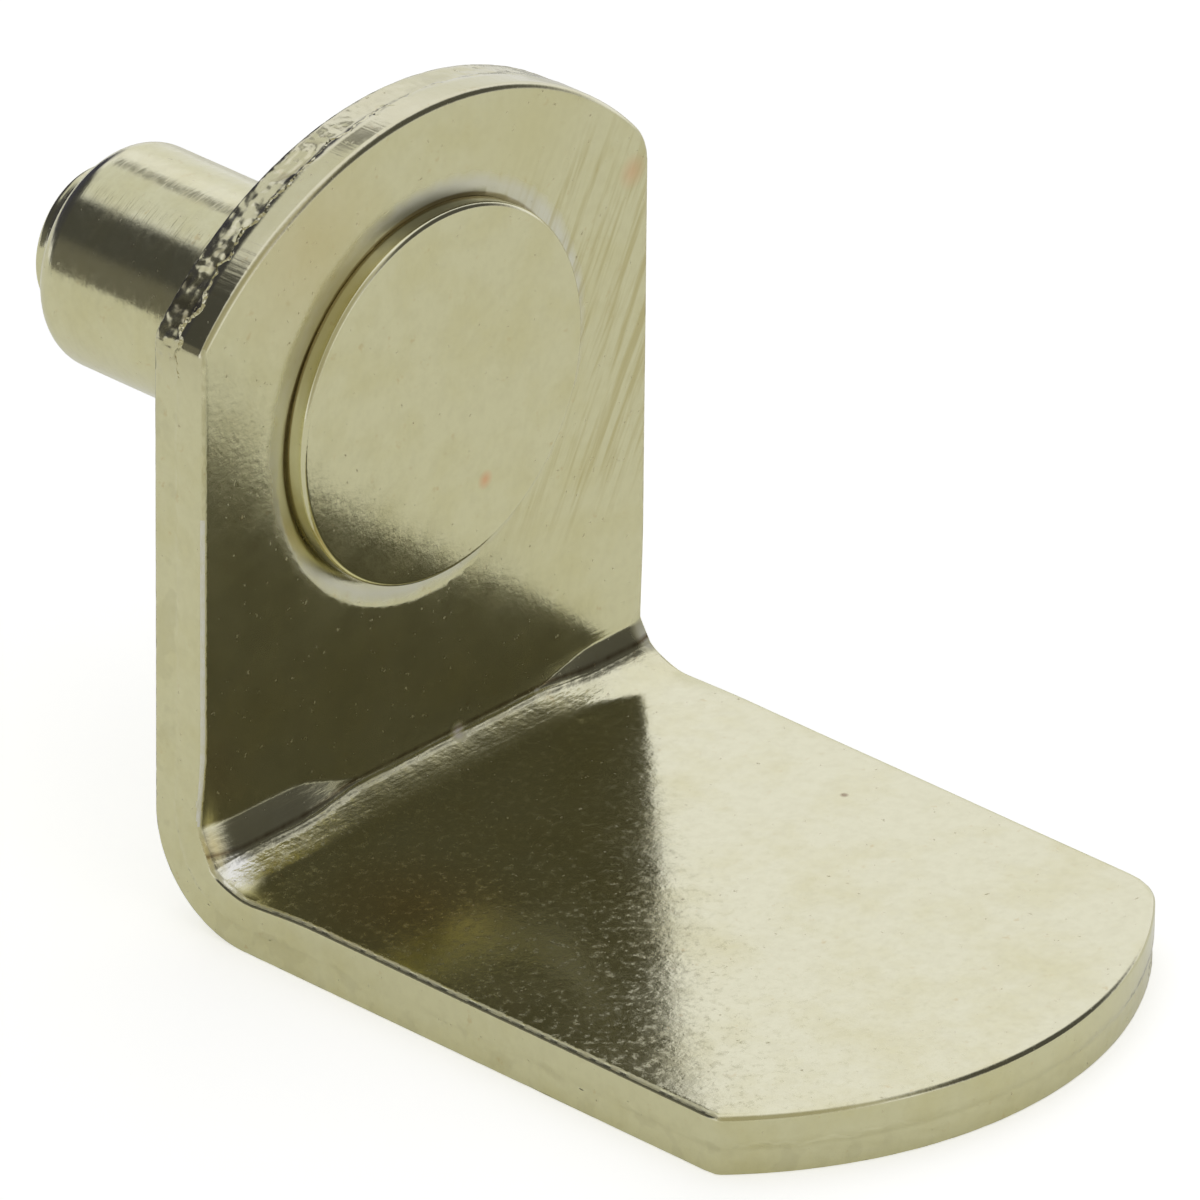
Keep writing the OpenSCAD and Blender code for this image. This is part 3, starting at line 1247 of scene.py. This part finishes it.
def cut_edge(name, depth_axis, front_at, sign, tearing):
    """Edge finish. depth_axis is the axis through the sheet and front_at the front face on it."""
    material, tree, shader = metal(name)
    place = millimetres(tree)
    axes = coordinates(tree, place)
    below_front = combine(tree, "SUBTRACT", axes[depth_axis], front_at)
    uneven = remap(tree, noise(tree, place, 1.6, 3), 0.3, 0.7, -0.16, 0.16)
    depth = total(tree, product(tree, below_front, sign), uneven)
    torn = remap(tree, depth, shear_depth - 0.03, shear_depth + 0.06, 0, 1)
    on_arc = remap(tree, axes["Z"], 2.2, 3.0, 0.12, tearing)
    to_left = remap(tree, axes["X"], -4.8, -0.5, 1, 0.16)
    torn = product(tree, torn, on_arc, to_left)

    through = [0.5 if axis == depth_axis else 6.0 for axis in "XYZ"]
    lines = bump(tree, noise(tree, stretched(tree, place, through), 1.0, 2), 0.006)
    lumps = noise(tree, place, 1.4, 2, 0.55)
    facets = bump(tree, product(tree, lumps, torn), lump_height, lines)
    feed(tree, grained(tree, place, 0.0018, facets), shader.inputs["Normal"])
    gloss = total(tree, product(tree, torn, 0.08), patchy_gloss(tree, place))
    feed(tree, gloss, shader.inputs["Roughness"])

    cracks = product(tree, remap(tree, lumps, 0.40, 0.46, 0.7, 0), torn)
    aged = product(tree, on_arc, 0.35 * tearing)
    colour = blend_colours(tree, cracks, plated_colour(tree, place), crack_brown)
    colour = blend_colours(tree, aged, colour, aged_yellow)
    feed(tree, colour, shader.inputs["Base Color"])
    return material


plate_edge = cut_edge("plated_plate_edge", "Y", -sheet, 1, 1.0)
seat_edge = cut_edge("plated_seat_edge", "Z", seat_z, -1, 0.12)
print("edge finishes:", plate_edge.name, seat_edge.name)

# %% [markdown]
# ## The worn edge and its painted highlight
# Handling has rubbed the plate's left front edge dull against its neighbours. Its colour is painted
# pale, partly for that wear and partly as a painted highlight, so it shows as a light line between
# the dark face and the side. Colour and roughness say enough here.

# %% Finish of the worn edge and its painted highlight
# Pale colour of the worn edge, partly wear and partly a painted highlight.
pale_wear_and_highlight = (0.80, 0.79, 0.68)
worn_roughness = 0.42


def rubbed_highlit_edge_finish(name):
    """The finish of an edge that handling has rubbed dull, painted pale for that wear and as a painted
    highlight.
    """
    material, tree, shader = metal(name)
    place = millimetres(tree)
    # The pale share is partly wear and partly a painted highlight along the rolled edge.
    worn_and_highlit = remap(tree, noise(tree, place, 3.0, 3, 0.6), 0.35, 0.6, 0.45, 1)
    colour = blend_colours(tree, worn_and_highlit, plated_colour(tree, place), pale_wear_and_highlight)
    feed(tree, colour, shader.inputs["Base Color"])
    shader.inputs["Roughness"].default_value = worn_roughness
    return material


rubbed_highlit_line = rubbed_highlit_edge_finish("rubbed_highlit_plate_edge")
print("worn edge:", rubbed_highlit_line.name)

# %% [markdown]
# ## Giving each face its finish
# A mesh can hold several materials, and every face of it has the number of the one that it wears.
# Faces that look sideways out of the strip get the finish of a cut edge, the one for their leg. The
# rules below go by a face's direction and place, so they work however fine the net is. The walls of
# the hole look sideways too and are left out.

# %% Rules for the edges
def looks_sideways(centre, normal, on_seat):
    """Whether a face belongs to the cut edge round the strip."""
    side = abs(normal.x) > 0.75
    over = centre.z > 0 and normal.z > 0.5 and abs(normal.y) < 0.6
    past = on_seat and normal.y < -0.5 and abs(normal.z) < 0.6 and centre.y < -bend_r
    in_hole = math.hypot(centre.x, centre.z) < head_r + 0.5 and centre.y > -sheet - 0.1
    return (side or over or past) and not (in_hole and abs(centre.x) < half_width - 0.3)


def on_rubbed_highlit_edge(centre, normal):
    """Whether a face belongs to the rolled front edge at the plate's left."""
    left_roll = centre.x < roll - half_width + 0.01 and normal.x < -0.35 and normal.y < -0.35
    on_plate = seat_z + 1.0 < centre.z < -0.5 and centre.y < 0.05 - sheet + roll
    return left_roll and on_plate


print("rules ready: looks_sideways, on_rubbed_highlit_edge")

# %% [markdown]
# The numbers follow the order in which the finishes are added to the strip, and a face that no rule
# picks keeps number 0, the finish of the faces.

# %% Give the strip its finishes
edge_finish = 1
seat_edge_finish = 2
rubbed_highlit_number = 3


def assign_finishes(piece):
    """Gives every face of the piece the number of its finish."""
    for polygon in piece.data.polygons:
        normal, centre = polygon.normal, polygon.center / MM
        on_seat = centre.y < -bend_r or (centre.y < -sheet and centre.z < seat_z + 0.3)
        if looks_sideways(centre, normal, on_seat):
            polygon.material_index = seat_edge_finish if on_seat else edge_finish
        if on_rubbed_highlit_edge(centre, normal):
            polygon.material_index = rubbed_highlit_number


strip.data.materials.clear()
for finish in (plated_faces, plate_edge, seat_edge, rubbed_highlit_line):
    strip.data.materials.append(finish)
assign_finishes(strip)
worn_by = [polygon.material_index for polygon in strip.data.polygons]
print("faces with each finish:", np.bincount(worn_by).tolist())

# %% [markdown]
# ## The pin's skin
# The pin was turned, so its fine lines run round it. In the part's coordinates that is a noise which
# changes quickly along Y and slowly the other way. The head's face was struck flat: it leans a
# little as the plate does, has the same slanting rubs and grain, and carries one small red
# stain. The body behind the plate is gritty, so its reflections break up.

# %% Finish of the pin
head_lean = (-0.006, 0.0, -0.007)
head_stain = (1.26, head_face, -2.45)


def pin_skin(name):
    """The finish of the whole pin: struck face, turned body and all."""
    material, tree, shader = metal(name)
    place = millimetres(tree)
    along = coordinates(tree, place)["Y"]
    on_body = remap(tree, along, -0.2, 0.2, 0, 1)
    on_face = remap(tree, along, head_face + 0.02, head_face + 0.01, 0, 1)

    mark = product(tree, spot(tree, place, head_stain, 0.03, 0.24), 0.55)
    colour = blend_colours(tree, mark, plated_colour(tree, place), stain)
    feed(tree, colour, shader.inputs["Base Color"])

    lines = noise(tree, stretched(tree, place, (0.7, 7.0, 0.7)), 1.0, 3, 0.6)
    level = leaned(tree, ((on_face, head_lean),))
    rings = bump(tree, product(tree, lines, on_body), 0.008, level)
    rubs = bump(tree, product(tree, streaks(tree, place, 3.5, 0.5), on_face), 0.004, rings)
    feed(tree, grained(tree, place, 0.0019, rubs), shader.inputs["Normal"])

    grit = remap(tree, noise(tree, place, 5.0, 3, 0.7), 0.45, 0.70, 0.0, 0.09)
    gloss = total(tree, product(tree, grit, on_body), patchy_gloss(tree, place))
    feed(tree, gloss, shader.inputs["Roughness"])
    return material


pin.data.materials.clear()
pin.data.materials.append(pin_skin("plated_pin_skin"))
print("materials:", [m.name for m in bpy.data.materials])

# %% [markdown]
# ## The table
# The part stands on a plain white disc, just below the underside of its seat. A diffuse surface alone
# would look grey in this light.

# %% Table
table_r = 120
table_gap = 0.01
table_colour = (0.80, 0.80, 0.70, 1)
camera_glow = 0.6
gloss_glow = 0.22

turns = np.linspace(0, 2 * math.pi, 96, endpoint=False)
table_z = under_z - table_gap
rim = [(table_r * math.cos(a), table_r * math.sin(a) + strip_low.y / 2, table_z) for a in turns]
table = make_mesh("table", rim, [range(len(rim))])
table_white = bpy.data.materials.new("table_white")
tree = start_tree(table_white)
diffuse = add(tree, "ShaderNodeBsdfDiffuse", Color=table_colour)
glow = add(tree, "ShaderNodeEmission")
rays = add(tree, "ShaderNodeLightPath").outputs
seen_glow = product(tree, rays["Is Camera Ray"], camera_glow)
mirrored_glow = product(tree, rays["Is Glossy Ray"], gloss_glow)
feed(tree, total(tree, seen_glow, mirrored_glow), glow.inputs["Strength"])
both = add(tree, "ShaderNodeAddShader")
feed(tree, diffuse.outputs[0], both.inputs[0])
feed(tree, glow.outputs[0], both.inputs[1])
output = add(tree, "ShaderNodeOutputMaterial")
feed(tree, both.outputs[0], output.inputs["Surface"])
table.data.materials.append(table_white)
print("table:", 2 * table_r, "mm across")

# %% [markdown]
# ## The room
# A shiny part looks like what surrounds it. Plain white all round would leave it flat, and lamps
# would leave hot dots. So the world is a bright room with darker zones, as a studio has its dark
# corners, and the metal needs both to show its shape. Each zone has a direction from the part, the
# angles in degrees where it starts to fade and where it has ended, and a colour. Later zones lie
# over earlier ones.

# %% Bright and dark sides of the room
bright = (1.0, 1.01, 1.22)
zones = {
    "dark corner in front, right": ((0.62, -0.63, 0.47), 23, 44, (0.088, 0.086, 0.088)),
    "behind the camera": ((-0.60, -0.62, 0.50), 22, 58, (0.45, 0.43, 0.36)),
    "dark corner at the back, left": ((-0.68, 0.58, 0.40), 26, 37, (0.075, 0.075, 0.080)),
    "high at the back": ((0.08, 0.60, 0.79), 11, 24, (0.76, 0.77, 0.83)),
    "small dark gap, high at the back": ((0.41, 0.60, 0.69), 2.5, 6, (0.24, 0.24, 0.27)),
    "low at the back, right": ((0.80, 0.58, 0.12), 10, 24, (0.88, 0.89, 0.98)),
    "back wall": ((-0.10, 0.93, 0.35), 18, 29, (0.06, 0.06, 0.08)),
    "foot of the back wall": ((0.30, 0.94, 0.16), 14, 24, (0.06, 0.06, 0.10)),
    "low at the back, left": ((-0.79, 0.59, 0.08), 8, 19, (0.16, 0.155, 0.15)),
}


def room_colour(tree):
    """The colour of the room in each direction."""
    direction = add(tree, "ShaderNodeTexCoord").outputs["Generated"]
    colour = bright
    for towards, inside, outside, tone in zones.values():
        turn = add(tree, "ShaderNodeVectorMath", operation="DOT_PRODUCT")
        feed(tree, direction, turn.inputs[0])
        turn.inputs[1].default_value = Vector(towards).normalized()
        ramp = add(tree, "ShaderNodeMapRange", interpolation_type="SMOOTHSTEP")
        ramp.inputs["From Min"].default_value = math.cos(math.radians(outside))
        ramp.inputs["From Max"].default_value = math.cos(math.radians(inside))
        feed(tree, turn.outputs["Value"], ramp.inputs["Value"])
        colour = blend_colours(tree, ramp.outputs["Result"], colour, tone)
    return colour


print("zones in the room:", len(zones))

# %% [markdown]
# Rays from the camera that miss everything see plain white, so that the background stays clean
# however the room looks in the metal. A Mix Shader switches between the two by the kind of ray.

# %% Light of the room
room = bpy.data.worlds.new("studio")
bpy.context.scene.world = room
tree = start_tree(room)
surroundings = add(tree, "ShaderNodeBackground")
feed(tree, room_colour(tree), surroundings.inputs["Color"])
plain_white = add(tree, "ShaderNodeBackground", Color=(1, 1, 1, 1))
switch = add(tree, "ShaderNodeMixShader")
feed(tree, add(tree, "ShaderNodeLightPath").outputs["Is Camera Ray"], switch.inputs[0])
feed(tree, surroundings.outputs[0], switch.inputs[1])
feed(tree, plain_white.outputs[0], switch.inputs[2])
output = add(tree, "ShaderNodeOutputWorld")
feed(tree, switch.outputs[0], output.inputs["Surface"])
print("world:", room.name)

# %% [markdown]
# ## The camera
# The camera looks down at the part from its front left, from far enough away that the lines stay
# nearly parallel. Its place is given by two angles and a distance, and it is aimed a little beside
# the pin's axis, so that the part fills the picture.

# %% Direction of the view
view_azimuth = -47.375
view_elevation = 28.512
view_roll = 0.603


def look(azimuth, elevation, roll):
    """The camera's right, up and back directions."""
    a, e, r = (math.radians(d) for d in (azimuth, elevation, roll))
    back = Vector((math.sin(a) * math.cos(e), -math.cos(a) * math.cos(e), math.sin(e)))
    right = Vector((0, 0, 1)).cross(back).normalized()
    up = back.cross(right)
    return right * math.cos(r) + up * math.sin(r), up * math.cos(r) - right * math.sin(r), back


right, up, back = look(view_azimuth, view_elevation, view_roll)
print("the camera looks along", [round(float(-c), 3) for c in back])

# %% [markdown]
# The lens follows from the width of the view at the part and the distance, so the framing stays the
# same if the distance is changed. The view transform is Standard, which shows a colour as it is
# written.

# %% Camera
view_distance = 387.3
view_width = 24.798
aim_right = 4.566
aim_up = -4.825
sensor = 36.0

camera_data = bpy.data.cameras.new("camera")
camera = bpy.data.objects.new("camera", camera_data)
bpy.context.scene.collection.objects.link(camera)
stand = (aim_right * right + aim_up * up + view_distance * back) * MM
camera.matrix_world = Matrix.Translation(stand) @ Matrix((right, up, back)).transposed().to_4x4()
camera_data.sensor_width = sensor
camera_data.lens = sensor * view_distance / view_width
camera_data.clip_start = 0.01
bpy.context.scene.camera = camera
bpy.context.scene.view_settings.view_transform = "Standard"
print(f"lens {camera_data.lens:.0f} mm at {view_distance:.0f} mm")
